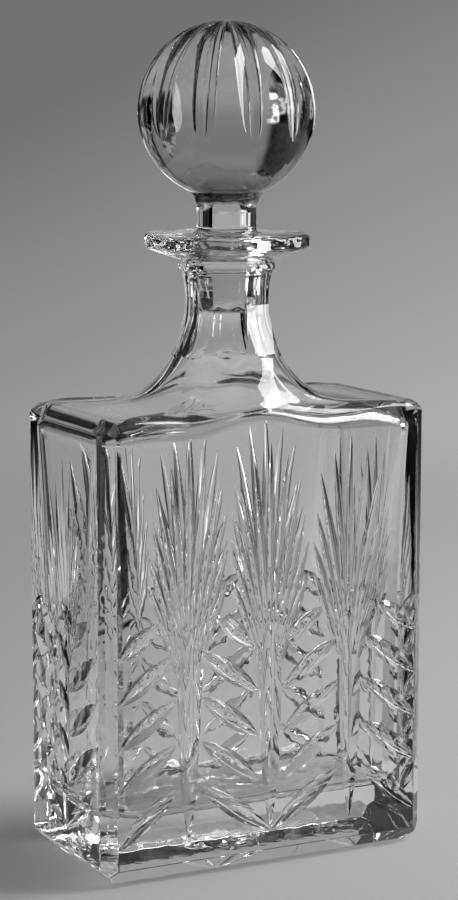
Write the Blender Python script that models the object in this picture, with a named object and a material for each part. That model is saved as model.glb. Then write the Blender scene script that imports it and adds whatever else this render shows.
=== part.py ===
# Rectangular cut-glass spirit decanter with a ball stopper.
# Two solid pieces of glass: the bottle, and the stopper that lifts out of its mouth.
# The frame: Z is up, X runs along the width, the front face looks along minus Y,
# and the origin is the middle of the foot, on the surface that the decanter stands on.
import math

import bmesh
import bpy
from mathutils import Vector

for leftover in list(bpy.data.objects):
    bpy.data.objects.remove(leftover, do_unlink=True)

# Body of the bottle
BODY_WIDTH = 0.1200
BODY_DEPTH = 0.0632
CORNER_CHAMFER = 0.0047
FOOT_BEVEL = 0.0053
WALL_THICKNESS = 0.0046
BASE_THICKNESS = 0.0200
CAVITY_CORNER = 0.0060
CAVITY_FILLET = 0.0060
LOW_WALL_THICKNESS = 0.0056
LOW_CAVITY_CORNER = 0.0130
CAVITY_SWELL_POWER = 2.6

# Shoulder of the bottle, from the crease at the top of the walls to the flare of the neck
# The crease dips twice along each wide wall. In the middle the rim is wider, and leans into the flare.
CREASE_HEIGHT = 0.1476
CREASE_SAG = 0.0024
RIM_RADIUS = 0.0046
RIM_SWELL = 0.0040
RIM_LEAN_SHARE = 0.5
RIM_LEAN_POWER = 4
MOST_LEAN_SHARE = 0.85
SHOULDER_THICKNESS = 0.0045
CAVITY_RIM_RADIUS = 0.0045
FLARE_RISE = 0.0163
FLARE_SPREAD = 0.00345
FLARE_WALL = 0.0034
FLARE_SLOPE = 2.0
LEAST_SHOULDER_POWER = 1.6

# Stopper, from its seat in the mouth down the peg and up to the ball
SEAT_RADIUS = 0.0111
PEG_LENGTH = 0.0254
PEG_SEAT_LENGTH = 0.0144
PEG_MIDDLE_RADIUS = 0.0101
PEG_BOTTOM_RADIUS = 0.0095
PEG_EDGE = 0.0006
STEM_FOOT_RISE = 0.0020
STEM_RADIUS = 0.00995
STEM_LENGTH = 0.0061
STEM_FLARE_RISE = 0.0043
STEM_FLARE_RADIUS = 0.0112
BALL_JOIN_RISE = 0.0017
BALL_JOIN_RADIUS = 0.0122
BALL_RADIUS = 0.0293

# Neck of the bottle, round a bore that clears the stopper's peg. Flat panels are cut round it,
# from under the collar down into the flare. Its radii are those of the ridges between the panels.
SEAT_GAP = 0.0003
NECK_WALL = 0.00415
NECK_ROOT_RISE = 0.0085
NECK_ROOT_SPREAD = 0.0013
WAIST_RISE = 0.0093
NECK_PANELS = 8
NECK_PANEL_TURN = math.radians(-112.5)
FLARE_PANEL_SHARE = 0.97
COLLAR_GAP = 0.0073
COLLAR_ROOT_SPREAD = 0.0009
COLLAR_HEIGHT = 0.0056
COLLAR_SPREAD = 0.00165
COLLAR_ROUND = 0.0010

# Pouring lip
LIP_HEIGHT = 0.0089
LIP_ROOT_SPREAD = 0.00045
LIP_UNDER_RISE = 0.0024
LIP_UNDER_SPREAD = 0.00795
LIP_SPREAD = 0.01345
LIP_EDGE_THICKNESS = 0.0050
LIP_EDGE_ROUND = 0.0014
LIP_SCALLOP_DEPTH = 0.0013
LIP_SCALLOP_DROP = 0.0006
MOUTH_EASE = 0.0007

# Flutes of the ball, long petal-shaped hollows, pointed at its top and round at their feet
FLUTE_COUNT = 11
FLUTE_HALF_WIDTH = 0.0053
FLUTE_DEPTH = 0.0016
FLUTE_TOP = math.radians(2)
FLUTE_TIP = math.radians(109)
FLUTE_WIDEST_SHARE = 0.62
FLUTE_DEPTH_POWER = 1.3
FLUTE_TURN = math.radians(-132)

# Cut pattern of the walls: fans on tapering stems, with slanting leaves between the stems.
# Every cut is a groove of V section, deepest near its middle and running out at its ends.
CUT_OVERRUN = 0.0004
FAN_COUNT = 3
FAN_ROOT_HEIGHT = 0.0800
FAN_REACH = 0.0625
SIDE_FAN_REACH = 0.0560
FAN_SPREAD = math.radians(38)
RAY_TURN_SHARES = (0.0, 0.165, 0.335, 0.50, 0.71, 1.0)
RAY_REACH_SHARES = (1.0, 0.925, 0.83, 0.63, 0.50, 0.37)
RAY_FOOT = 0.0640
RAY_GAP = 0.00045
RAY_BEND_SHARE = 0.30
RAY_HALF_WIDTH = 0.0015
RAY_DEPTH = 0.0009
RAY_PEAK_SHARE = 0.62
STEM_CUT_TOP = 0.0860
STEM_CUT_FOOT = 0.0125
STEM_CUT_HALF_WIDTH = 0.0038
STEM_CUT_DEPTH = 0.0017
STEM_PEAK_SHARE = 0.14
STEM_CUT_POWER = 3.5
LEAF_ROWS = 5
LEAF_FOOT = 0.0151
LEAF_PITCH = 0.0149
LEAF_RISE = 0.0152
FOOT_LEAF_DROP = 0.0027
LEAF_MARGIN = 0.0045
LEAF_HALF_WIDTH = 0.0029
LEAF_DEPTH = 0.0015
LEAF_PEAK_SHARE = 0.5
CUT_POWER = 2
TOP_LEAF_SHARE = 0.72

# Half width, depth, share of the length at which it is deepest, and power of the run-out
RAY_SHAPE = (RAY_HALF_WIDTH, RAY_DEPTH, RAY_PEAK_SHARE, CUT_POWER)
STEM_SHAPE = (STEM_CUT_HALF_WIDTH, STEM_CUT_DEPTH, STEM_PEAK_SHARE, STEM_CUT_POWER)
LEAF_SHAPE = (LEAF_HALF_WIDTH, LEAF_DEPTH, LEAF_PEAK_SHARE, CUT_POWER)

# Radii and heights that follow from the sizes above
BORE_RADIUS = PEG_MIDDLE_RADIUS + SEAT_GAP
MOUTH_RADIUS = SEAT_RADIUS + SEAT_GAP
WAIST_RADIUS = BORE_RADIUS + NECK_WALL
FLARE_RADIUS = WAIST_RADIUS + FLARE_SPREAD
LIP_RADIUS = WAIST_RADIUS + LIP_SPREAD
FLARE_HEIGHT = CREASE_HEIGHT + RIM_RADIUS + FLARE_RISE
NECK_ROOT_HEIGHT = FLARE_HEIGHT + NECK_ROOT_RISE
WAIST_HEIGHT = NECK_ROOT_HEIGHT + WAIST_RISE
COLLAR_BASE = WAIST_HEIGHT + COLLAR_GAP
LIP_BASE = COLLAR_BASE + COLLAR_HEIGHT
LIP_TOP = LIP_BASE + LIP_HEIGHT
SEAT_HEIGHT = LIP_TOP - MOUTH_EASE
PEG_MIDDLE_HEIGHT = SEAT_HEIGHT - PEG_SEAT_LENGTH
PEG_BOTTOM_HEIGHT = SEAT_HEIGHT - PEG_LENGTH
STEM_FOOT_HEIGHT = SEAT_HEIGHT + STEM_FOOT_RISE
STEM_TOP_HEIGHT = STEM_FOOT_HEIGHT + STEM_LENGTH
STEM_FLARE_HEIGHT = STEM_TOP_HEIGHT + STEM_FLARE_RISE
BALL_HEIGHT = STEM_FLARE_HEIGHT + BALL_JOIN_RISE + math.sqrt(BALL_RADIUS**2 - BALL_JOIN_RADIUS**2)

# Steps round the box and along the curves
WIDTH_STEPS = 12
DEPTH_STEPS = 8
CHAMFER_STEPS = 2
RING_STEPS = 2 * (WIDTH_STEPS + DEPTH_STEPS) + 4 * CHAMFER_STEPS
RIM_STEPS = 4
SHOULDER_STEPS = 6
FILLET_STEPS = 3
CAVITY_WALL_STEPS = 4
RAY_STEPS = 2
STEM_STEPS = 4
LEAF_STEPS = 3
NECK_STEPS = 3
LIP_EDGE_STEPS = 3
BALL_FOOT_STEPS = 3
FLUTE_STEPS = 12
FLUTE_COLUMNS = 6
STOPPER_RING_STEPS = FLUTE_COUNT * FLUTE_COLUMNS
FIRST_ANGLE = math.radians(-135)
CREASE_ANGLE = math.radians(25)

GLASS_COLOUR = (0.93, 0.95, 0.95, 1.0)
GLASS_ROUGHNESS = 0.02
GLASS_INDEX = 1.54


def blend(start, end, share):
    return start + (end - start) * share


def side_steps():
    """The number of steps on each of the eight sides of a ring, from the front on."""
    return [WIDTH_STEPS, CHAMFER_STEPS, DEPTH_STEPS, CHAMFER_STEPS] * 2


def box_ring(half_width, half_depth, chamfer, height):
    """A level ring round a box with cut corners."""
    straight_x = half_width - chamfer
    straight_y = half_depth - chamfer
    corners = [
        (-straight_x, -half_depth),
        (straight_x, -half_depth),
        (half_width, -straight_y),
        (half_width, straight_y),
        (straight_x, half_depth),
        (-straight_x, half_depth),
        (-half_width, straight_y),
        (-half_width, -straight_y),
    ]
    points = []
    for side, steps in enumerate(side_steps()):
        start = corners[side]
        end = corners[(side + 1) % len(corners)]
        for step in range(steps):
            share = step / steps
            points.append(Vector((blend(start[0], end[0], share), blend(start[1], end[1], share), height)))
    return points


def rounded_ring(half_width, half_depth, corner, height):
    """A level ring round a box whose corners are quarter circles."""
    points = box_ring(half_width, half_depth, corner, height)
    index = 0
    for side, steps in enumerate(side_steps()):
        if side % 2 == 1:
            middle = points[index + CHAMFER_STEPS // 2]
            centre_x = math.copysign(half_width - corner, middle.x)
            centre_y = math.copysign(half_depth - corner, middle.y)
            reach = corner * math.cos(math.radians(45))
            middle.x = centre_x + math.copysign(reach, middle.x)
            middle.y = centre_y + math.copysign(reach, middle.y)
        index += steps
    return points


def round_ring(radius, height, first=FIRST_ANGLE, count=RING_STEPS):
    """A level ring round the axis of the neck."""
    points = []
    for step in range(count):
        angle = first + 2 * math.pi * step / count
        points.append(Vector((radius * math.cos(angle), radius * math.sin(angle), height)))
    return points


def panelled_ring(radius, height, panel_share):
    """A ring of the neck, flat across each panel. The share is a panel's distance from the axis."""
    points = round_ring(radius, height)
    for point in points:
        turn = math.atan2(point.y, point.x) - NECK_PANEL_TURN
        away = math.acos(math.cos(turn * NECK_PANELS)) / NECK_PANELS
        shrink = min(1.0, panel_share / math.cos(away))
        point.x *= shrink
        point.y *= shrink
    return points


def scalloped_ring(radius, height):
    """A ring of the lip, which bows out in scallops above the neck's ridges, and dips between them."""
    points = round_ring(radius, height)
    for point in points:
        turn = math.atan2(point.y, point.x) - NECK_PANEL_TURN
        dip = 1 - abs(math.sin(turn * NECK_PANELS / 2))
        shrink = 1 - LIP_SCALLOP_DEPTH * dip / radius
        point.x *= shrink
        point.y *= shrink
        point.z -= LIP_SCALLOP_DROP * dip
    return points


def wide_shares():
    """How near each step of a ring is to the middle of a wide wall, from 0 to 1."""
    shares = []
    for side, steps in enumerate(side_steps()):
        for step in range(steps):
            shares.append(math.sin(math.pi * step / steps) if side % 4 == 0 else 0.0)
    return shares


def rim_rings(half_width, half_depth, corner, make_ring, height, radius, swell):
    """Rings of the rounded edge between the walls and the shoulder, from the walls up."""
    rings = []
    for step in range(RIM_STEPS + 1):
        angle = math.radians(90) * step / RIM_STEPS
        inset = radius * (1 - math.cos(angle))
        ring = make_ring(half_width - inset, half_depth - inset, corner, height)
        # in the middle of the wide walls the outer rim is wider, and the inner one that much higher
        for point, share in zip(ring, wide_shares()):
            turned = angle * (1 - RIM_LEAN_SHARE * share ** RIM_LEAN_POWER)
            wide = radius + swell * share
            if share > 0:
                point.y = math.copysign(half_depth - wide * (1 - math.cos(turned)), point.y)
            dip = 4 * share**2 * (1 - share**2)
            point.z += wide * math.sin(turned) - CREASE_SAG * dip + (RIM_SWELL - swell) * share
        rings.append(ring)
    return rings


def shoulder_rings(outer, inner):
    """Rings that sweep from the rim of the shoulder up into the flare of the neck."""
    rings = []
    for step in range(1, SHOULDER_STEPS):
        share = math.sin(math.radians(90) * step / SHOULDER_STEPS)
        ring = []
        for start, end, near in zip(outer, inner, wide_shares()):
            run = math.hypot(start.x - end.x, start.y - end.y)
            climb = end.z - start.z
            lean = math.radians(90) * RIM_LEAN_SHARE * near ** RIM_LEAN_POWER
            first = min(math.tan(lean) * run / climb, MOST_LEAN_SHARE)
            last = max(LEAST_SHOULDER_POWER, FLARE_SLOPE * run / climb)
            power = (last - first) / (1 - first)
            height = start.z + climb * (first * share + (1 - first) * share ** power)
            ring.append(Vector((blend(start.x, end.x, share), blend(start.y, end.y, share), height)))
        rings.append(ring)
    return rings


def curve_between(start, start_slope, end, end_slope, steps):
    """Points of (radius, height) between two ends. A slope is radius gained for each height."""
    climb = end[1] - start[1]
    points = []
    for step in range(1, steps):
        share = step / steps
        lead = share * share * (3 - 2 * share)
        bend_start = share * (1 - share) ** 2
        bend_end = share * share * (share - 1)
        radius = blend(start[0], end[0], lead) + climb * (start_slope * bend_start + end_slope * bend_end)
        points.append((radius, blend(start[1], end[1], share)))
    return points


def join_rings(mesh, lower, upper):
    """Faces between two rings of vertices, turned outwards when the rings climb outside."""
    count = len(lower)
    for step in range(count):
        following = (step + 1) % count
        mesh.faces.new((lower[step], lower[following], upper[following], upper[step]))


def add_ring(mesh, points):
    return [mesh.verts.new(point) for point in points]


def glass_material(name):
    """A clear glass, with the same values for both pieces."""
    material = bpy.data.materials.new(name)
    material.use_nodes = True
    shader = material.node_tree.nodes["Principled BSDF"]
    shader.inputs["Base Color"].default_value = GLASS_COLOUR
    shader.inputs["Roughness"].default_value = GLASS_ROUGHNESS
    shader.inputs["Metallic"].default_value = 0.0
    shader.inputs["IOR"].default_value = GLASS_INDEX
    shader.inputs["Transmission Weight"].default_value = 1.0
    material.diffuse_color = GLASS_COLOUR
    return material


def finish_object(mesh, name):
    """An object from the mesh, shaded smooth between its sharp edges."""
    data = bpy.data.meshes.new(name)
    mesh.to_mesh(data)
    mesh.free()
    data.shade_smooth()
    data.set_sharp_from_angle(angle=CREASE_ANGLE)
    item = bpy.data.objects.new(name, data)
    bpy.context.scene.collection.objects.link(item)
    return item


def add_walls(mesh, crease):
    """The flat walls, cut corners and bevelled foot, below the crease of the shoulder."""
    half_width = BODY_WIDTH / 2
    half_depth = BODY_DEPTH / 2
    tip = CORNER_CHAMFER / 2
    signs = [(-1, -1), (1, -1), (1, 1), (-1, 1)]
    foot = []
    tips = []
    for sign_x, sign_y in signs:
        foot_point = (sign_x * (half_width - FOOT_BEVEL), sign_y * (half_depth - FOOT_BEVEL), 0.0)
        tip_point = (sign_x * (half_width - tip), sign_y * (half_depth - tip), FOOT_BEVEL - tip)
        foot.append(mesh.verts.new(foot_point))
        tips.append(mesh.verts.new(tip_point))
    corners = []
    index = 0
    for steps in side_steps():
        corner = crease[index].co
        corners.append(mesh.verts.new((corner.x, corner.y, FOOT_BEVEL)))
        index += steps
    mesh.faces.new(foot[::-1])
    index = 0
    for side, steps in enumerate(side_steps()):
        start = corners[side]
        end = corners[(side + 1) % len(corners)]
        top = [crease[(index + step) % RING_STEPS] for step in range(steps, -1, -1)]
        if side % 2 == 0:
            here = side // 2
            ahead = (here + 1) % len(signs)
            mesh.faces.new([start, end] + top)
            mesh.faces.new((foot[here], foot[ahead], tips[ahead], end, start, tips[here]))
        else:
            here = (side // 2 + 1) % len(signs)
            mesh.faces.new([start, tips[here], end] + top)
        index += steps


def add_groove(mesh, to_wall, path, shape, steps):
    """A closed wedge that cuts one groove into a wall, along a path of start, bend and end."""
    start, bend, end = path
    half_width, depth, peak_share, power = shape
    reach = (1 + CUT_OVERRUN / depth) ** (1 / power)
    places = [blend(-reach, reach, step / (2 * steps)) for step in range(2 * steps + 1)]
    middles = []
    left = []
    right = []
    keel = []
    for place in places:
        share = peak_share + place * (1 - peak_share if place > 0 else peak_share)
        before = start.lerp(bend, share)
        after = bend.lerp(end, share)
        along = (after - before).normalized()
        across = Vector((-along.y, along.x))
        middle = before.lerp(after, share)
        middles.append(middle)
        if 0 < len(middles) - 1 < 2 * steps:
            deep = depth * (1 - abs(place) ** power)
            spread = across * half_width * (deep + CUT_OVERRUN) / depth
            left.append(mesh.verts.new(to_wall(middle + spread, CUT_OVERRUN)))
            right.append(mesh.verts.new(to_wall(middle - spread, CUT_OVERRUN)))
            keel.append(mesh.verts.new(to_wall(middle, -deep)))
    first = mesh.verts.new(to_wall(middles[0], CUT_OVERRUN))
    last = mesh.verts.new(to_wall(middles[-1], CUT_OVERRUN))
    for step in range(len(keel) - 1):
        mesh.faces.new((left[step], left[step + 1], keel[step + 1], keel[step]))
        mesh.faces.new((keel[step], keel[step + 1], right[step + 1], right[step]))
        mesh.faces.new((right[step], right[step + 1], left[step + 1], left[step]))
    mesh.faces.new((first, left[0], keel[0]))
    mesh.faces.new((first, keel[0], right[0]))
    mesh.faces.new((first, right[0], left[0]))
    mesh.faces.new((last, keel[-1], left[-1]))
    mesh.faces.new((last, right[-1], keel[-1]))
    mesh.faces.new((last, left[-1], right[-1]))


def wide_wall(side):
    """Turns a place on a wide wall, and a distance out of it, into a place in the frame."""
    return lambda place, out: Vector((-side * place.x, side * (BODY_DEPTH / 2 + out), place.y))


def narrow_wall(side):
    """Turns a place on a narrow wall, and a distance out of it, into a place in the frame."""
    return lambda place, out: Vector((side * (BODY_WIDTH / 2 + out), side * place.x, place.y))


def add_fan(mesh, to_wall, middle, reach):
    """A fan of rays that rise side by side out of a stem and spread, like a palm's leaves."""
    root = Vector((middle, FAN_ROOT_HEIGHT))
    for index, (turn_share, reach_share) in enumerate(zip(RAY_TURN_SHARES, RAY_REACH_SHARES)):
        for side in (-1, 1) if turn_share > 0 else (1,):
            turn = side * turn_share * FAN_SPREAD
            end = root + Vector((math.sin(turn), math.cos(turn))) * reach * reach_share
            gap = side * RAY_GAP * index
            start = Vector((middle + gap, RAY_FOOT))
            bend = Vector((middle + 2 * gap, blend(RAY_FOOT, end.y, RAY_BEND_SHARE)))
            add_groove(mesh, to_wall, (start, bend, end), RAY_SHAPE, RAY_STEPS)


def add_stem(mesh, to_wall, middle):
    """The long tapering groove below a fan."""
    top = Vector((middle, STEM_CUT_TOP))
    foot = Vector((middle, STEM_CUT_FOOT))
    add_groove(mesh, to_wall, (top, top.lerp(foot, 0.5), foot), STEM_SHAPE, STEM_STEPS)


def add_leaves(mesh, to_wall, low_side, high_side, foot_side):
    """A column of slanting leaves, from a low side up to a high one. The lowest starts at its foot."""
    for row in range(LEAF_ROWS):
        low = LEAF_FOOT + LEAF_PITCH * row
        share = TOP_LEAF_SHARE if row == LEAF_ROWS - 1 else 1.0
        start = Vector((foot_side, low - FOOT_LEAF_DROP) if row == 0 else (low_side, low))
        end = start.lerp(Vector((high_side, low + LEAF_RISE)), share)
        add_groove(mesh, to_wall, (start, start.lerp(end, 0.5), end), LEAF_SHAPE, LEAF_STEPS)


def cutter_object(mesh, name):
    """A hidden object that holds the grooves cut into the walls."""
    bmesh.ops.recalc_face_normals(mesh, faces=mesh.faces[:])
    data = bpy.data.meshes.new(name)
    mesh.to_mesh(data)
    mesh.free()
    cutter = bpy.data.objects.new(name, data)
    cutter.hide_render = True
    cutter.display_type = "WIRE"
    bpy.context.scene.collection.objects.link(cutter)
    return cutter


def fan_cutter():
    """The fans and stems of all four walls."""
    mesh = bmesh.new()
    pitch = BODY_WIDTH / (FAN_COUNT + 1)
    for side in (-1, 1):
        for fan in range(FAN_COUNT):
            middle = pitch * (fan + 1) - BODY_WIDTH / 2
            add_fan(mesh, wide_wall(side), middle, FAN_REACH)
            add_stem(mesh, wide_wall(side), middle)
        add_fan(mesh, narrow_wall(side), 0.0, SIDE_FAN_REACH)
        add_stem(mesh, narrow_wall(side), 0.0)
    return cutter_object(mesh, "fan_cutter")


def leaf_cutter():
    """The columns of leaves of all four walls, which lean to and fro from stem to stem."""
    mesh = bmesh.new()
    pitch = BODY_WIDTH / (FAN_COUNT + 1)
    corner = BODY_WIDTH / 2 - LEAF_MARGIN
    side_corner = BODY_DEPTH / 2 - LEAF_MARGIN - CORNER_CHAMFER / 2
    for side in (-1, 1):
        for half in (-1, 1):
            outer = half * (pitch + LEAF_MARGIN)
            inner = half * (pitch - LEAF_MARGIN)
            add_leaves(mesh, wide_wall(side), half * corner, outer, half * corner)
            add_leaves(mesh, wide_wall(side), half * LEAF_MARGIN, inner, half * CUT_OVERRUN)
            stem = half * LEAF_MARGIN
            add_leaves(mesh, narrow_wall(side), stem, half * side_corner, half * CUT_OVERRUN)
    return cutter_object(mesh, "leaf_cutter")


def cut_with(item, cutter):
    """Takes a cutter's grooves out of an object."""
    cut = item.modifiers.new(cutter.name, "BOOLEAN")
    cut.operation = "DIFFERENCE"
    cut.solver = "EXACT"
    cut.use_self = True
    cut.object = cutter


def neck_rings():
    """Rings up the outside of the neck, from the flare over the panels to the collar's bead."""
    flare = (FLARE_RADIUS, FLARE_HEIGHT)
    root = (WAIST_RADIUS + NECK_ROOT_SPREAD, NECK_ROOT_HEIGHT)
    waist = (WAIST_RADIUS, WAIST_HEIGHT)
    root_slope = (waist[0] - flare[0]) / (waist[1] - flare[1])
    full_share = math.cos(math.pi / NECK_PANELS)
    rings = []
    opening = [flare] + curve_between(flare, -1 / FLARE_SLOPE, root, root_slope, NECK_STEPS)
    for step, (radius, height) in enumerate(opening):
        panel_share = blend(FLARE_PANEL_SHARE, full_share, step / NECK_STEPS)
        rings.append(panelled_ring(radius, height, panel_share))
    straight = [root] + curve_between(root, root_slope, waist, 0.0, NECK_STEPS)
    straight += [waist, (WAIST_RADIUS + COLLAR_ROOT_SPREAD, COLLAR_BASE)]
    for radius, height in straight:
        rings.append(panelled_ring(radius, height, full_share))
    collar_radius = WAIST_RADIUS + COLLAR_SPREAD
    bead = [
        (collar_radius - COLLAR_ROUND / 2, COLLAR_BASE + COLLAR_ROUND),
        (collar_radius, COLLAR_BASE + COLLAR_HEIGHT / 2),
        (collar_radius - COLLAR_ROUND / 2, LIP_BASE - COLLAR_ROUND),
        (WAIST_RADIUS + LIP_ROOT_SPREAD, LIP_BASE),
    ]
    for radius, height in bead:
        rings.append(round_ring(radius, height))
    return rings


def lip_rings():
    """Rings round the flat scalloped lip, from its underside over its edge to its top."""
    low = LIP_TOP - LIP_EDGE_THICKNESS
    flat_radius = LIP_RADIUS - LIP_EDGE_ROUND
    rings = [round_ring(WAIST_RADIUS + LIP_UNDER_SPREAD, LIP_BASE + LIP_UNDER_RISE)]
    for step in range(LIP_EDGE_STEPS):
        angle = math.radians(90) * step / (LIP_EDGE_STEPS - 1)
        radius = flat_radius + LIP_EDGE_ROUND * math.sin(angle)
        height = low + LIP_EDGE_ROUND * (1 - math.cos(angle))
        rings.append(scalloped_ring(radius, height))
    for step in range(LIP_EDGE_STEPS):
        angle = math.radians(90) * step / (LIP_EDGE_STEPS - 1)
        radius = flat_radius + LIP_EDGE_ROUND * math.cos(angle)
        height = LIP_TOP - LIP_EDGE_ROUND * (1 - math.sin(angle))
        rings.append(scalloped_ring(radius, height))
    return rings


def bore_outline():
    """Points of (radius, height) down the bore, from the mouth to the flare inside."""
    low = (BORE_RADIUS, PEG_BOTTOM_HEIGHT)
    flare = (FLARE_RADIUS - FLARE_WALL, FLARE_HEIGHT)
    points = [
        (MOUTH_RADIUS + MOUTH_EASE, LIP_TOP),
        (MOUTH_RADIUS, SEAT_HEIGHT),
        (BORE_RADIUS, PEG_MIDDLE_HEIGHT),
        low,
    ]
    points += curve_between(low, 0.0, flare, -1 / FLARE_SLOPE, NECK_STEPS)
    points += [flare]
    return points


def cavity_wall_rings(top_ring):
    """Rings down the inside of the walls, which grow thicker and rounder at the corners."""
    half_width = BODY_WIDTH / 2 - LOW_WALL_THICKNESS
    half_depth = BODY_DEPTH / 2 - LOW_WALL_THICKNESS
    foot = BASE_THICKNESS + CAVITY_FILLET
    low_ring = rounded_ring(half_width, half_depth, LOW_CAVITY_CORNER, foot)
    rings = []
    for step in range(1, CAVITY_WALL_STEPS):
        share = step / CAVITY_WALL_STEPS
        swell = 1 - (1 - share) ** CAVITY_SWELL_POWER
        ring = []
        for start, end in zip(top_ring, low_ring):
            x = blend(start.x, end.x, swell)
            y = blend(start.y, end.y, swell)
            ring.append(Vector((x, y, blend(start.z, end.z, share))))
        rings.append(ring)
    return rings


def cavity_floor_rings():
    """Rings of the rounded edge between the cavity's walls and its floor, from the walls down."""
    half_width = BODY_WIDTH / 2 - LOW_WALL_THICKNESS
    half_depth = BODY_DEPTH / 2 - LOW_WALL_THICKNESS
    rings = []
    for step in range(FILLET_STEPS + 1):
        angle = math.radians(90) * step / FILLET_STEPS
        inset = CAVITY_FILLET * (1 - math.cos(angle))
        height = BASE_THICKNESS + CAVITY_FILLET * (1 - math.sin(angle))
        corner = LOW_CAVITY_CORNER - inset / 2
        rings.append(rounded_ring(half_width - inset, half_depth - inset, corner, height))
    return rings


def build_bottle():
    """The bottle: solid base, hollow body, shoulder, neck, collar and lip in one glass."""
    mesh = bmesh.new()
    half_width = BODY_WIDTH / 2
    half_depth = BODY_DEPTH / 2
    rim = rim_rings(
        half_width, half_depth, CORNER_CHAMFER, box_ring, CREASE_HEIGHT, RIM_RADIUS, RIM_SWELL
    )
    neck = neck_rings()
    outside = rim + shoulder_rings(rim[-1], neck[0]) + neck + lip_rings()

    cavity_width = half_width - WALL_THICKNESS
    cavity_depth = half_depth - WALL_THICKNESS
    cavity_crease = CREASE_HEIGHT + RIM_RADIUS - SHOULDER_THICKNESS - CAVITY_RIM_RADIUS
    cavity_rim = rim_rings(
        cavity_width, cavity_depth, CAVITY_CORNER, rounded_ring, cavity_crease, CAVITY_RIM_RADIUS, 0.0
    )
    bore = [round_ring(radius, height) for radius, height in bore_outline()]
    inside = bore + shoulder_rings(cavity_rim[-1], bore[-1])[::-1] + cavity_rim[::-1]
    inside += cavity_wall_rings(cavity_rim[0]) + cavity_floor_rings()

    rings = [add_ring(mesh, ring) for ring in outside + inside]
    for lower, upper in zip(rings, rings[1:]):
        join_rings(mesh, lower, upper)
    mesh.faces.new(rings[-1])
    add_walls(mesh, rings[0])
    bottle = finish_object(mesh, "decanter_bottle")
    bottle.data.materials.append(glass_material("bottle_glass"))
    cut_with(bottle, fan_cutter())
    cut_with(bottle, leaf_cutter())
    return bottle


def stopper_outline():
    """Points of (radius, height) up the stopper, from its flat peg to the foot of its ball."""
    points = [
        (PEG_BOTTOM_RADIUS - PEG_EDGE, PEG_BOTTOM_HEIGHT),
        (PEG_BOTTOM_RADIUS, PEG_BOTTOM_HEIGHT + PEG_EDGE),
        (PEG_MIDDLE_RADIUS, PEG_MIDDLE_HEIGHT),
        (SEAT_RADIUS, SEAT_HEIGHT),
        (STEM_RADIUS, STEM_FOOT_HEIGHT),
        (STEM_RADIUS, STEM_TOP_HEIGHT),
        (STEM_FLARE_RADIUS, STEM_FLARE_HEIGHT),
    ]
    return points


def flute_size(polar):
    """The width of a flute against its widest, at an angle from the top of the ball."""
    share = (polar - FLUTE_TOP) / (FLUTE_TIP - FLUTE_TOP)
    if share <= 0 or share >= 1:
        return 0.0
    if share < FLUTE_WIDEST_SHARE:
        return math.sin(math.radians(90) * share / FLUTE_WIDEST_SHARE)
    past = (share - FLUTE_WIDEST_SHARE) / (1 - FLUTE_WIDEST_SHARE)
    return math.sqrt(1 - past * past)


def fluted_ring(polar):
    """A ring of the ball, with columns along the edges and down the middle of each flute."""
    level = BALL_RADIUS * math.sin(polar)
    sector = 2 * math.pi / FLUTE_COUNT
    size = flute_size(polar)
    width = FLUTE_HALF_WIDTH * size
    even = sector / FLUTE_COLUMNS
    column_turn = 2 * width / level / (FLUTE_COLUMNS - 2) if width > 0 else even
    points = []
    for flute in range(FLUTE_COUNT):
        middle = FLUTE_TURN + sector * flute
        for column in range(FLUTE_COLUMNS):
            offset = column - FLUTE_COLUMNS / 2
            angle = middle + (offset * column_turn if column > 0 else -sector / 2)
            away = abs(offset) * 2 / (FLUTE_COLUMNS - 2)
            hollow = FLUTE_DEPTH * size ** FLUTE_DEPTH_POWER * max(0.0, 1 - away * away)
            radius = BALL_RADIUS - hollow
            reach = radius * math.sin(polar)
            height = BALL_HEIGHT + radius * math.cos(polar)
            points.append(Vector((reach * math.cos(angle), reach * math.sin(angle), height)))
    return points


def ball_rings():
    """Rings of the ball, from its join with the stem to near its top."""
    first = math.pi - math.asin(BALL_JOIN_RADIUS / BALL_RADIUS)
    rings = []
    for step in range(BALL_FOOT_STEPS):
        rings.append(fluted_ring(blend(first, FLUTE_TIP, step / BALL_FOOT_STEPS)))
    for step in range(FLUTE_STEPS):
        rings.append(fluted_ring(blend(FLUTE_TIP, FLUTE_TOP, (step + 0.5) / FLUTE_STEPS)))
    return rings


def build_stopper():
    """The stopper: a solid ball on a short stem, over the tapered peg that fills the mouth."""
    mesh = bmesh.new()
    first = FLUTE_TURN - math.pi / FLUTE_COUNT
    lift = Vector((0.0, 0.0, SEAT_HEIGHT))
    rounds = [
        round_ring(radius, height, first, STOPPER_RING_STEPS) for radius, height in stopper_outline()
    ]
    rings = [add_ring(mesh, [point - lift for point in ring]) for ring in rounds + ball_rings()]
    for lower, upper in zip(rings, rings[1:]):
        join_rings(mesh, lower, upper)
    mesh.faces.new(rings[0][::-1])
    top = mesh.verts.new(Vector((0.0, 0.0, BALL_HEIGHT + BALL_RADIUS)) - lift)
    for step in range(STOPPER_RING_STEPS):
        mesh.faces.new((rings[-1][step], rings[-1][(step + 1) % STOPPER_RING_STEPS], top))
    stopper = finish_object(mesh, "ball_stopper")
    stopper.location = lift
    stopper.data.materials.append(glass_material("stopper_glass"))
    return stopper


build_bottle()
build_stopper()
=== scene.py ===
# Rectangular cut-glass decanter with a ball stopper, dressed in clear glass.
import math

import bmesh
import bpy
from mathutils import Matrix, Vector, noise


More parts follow.
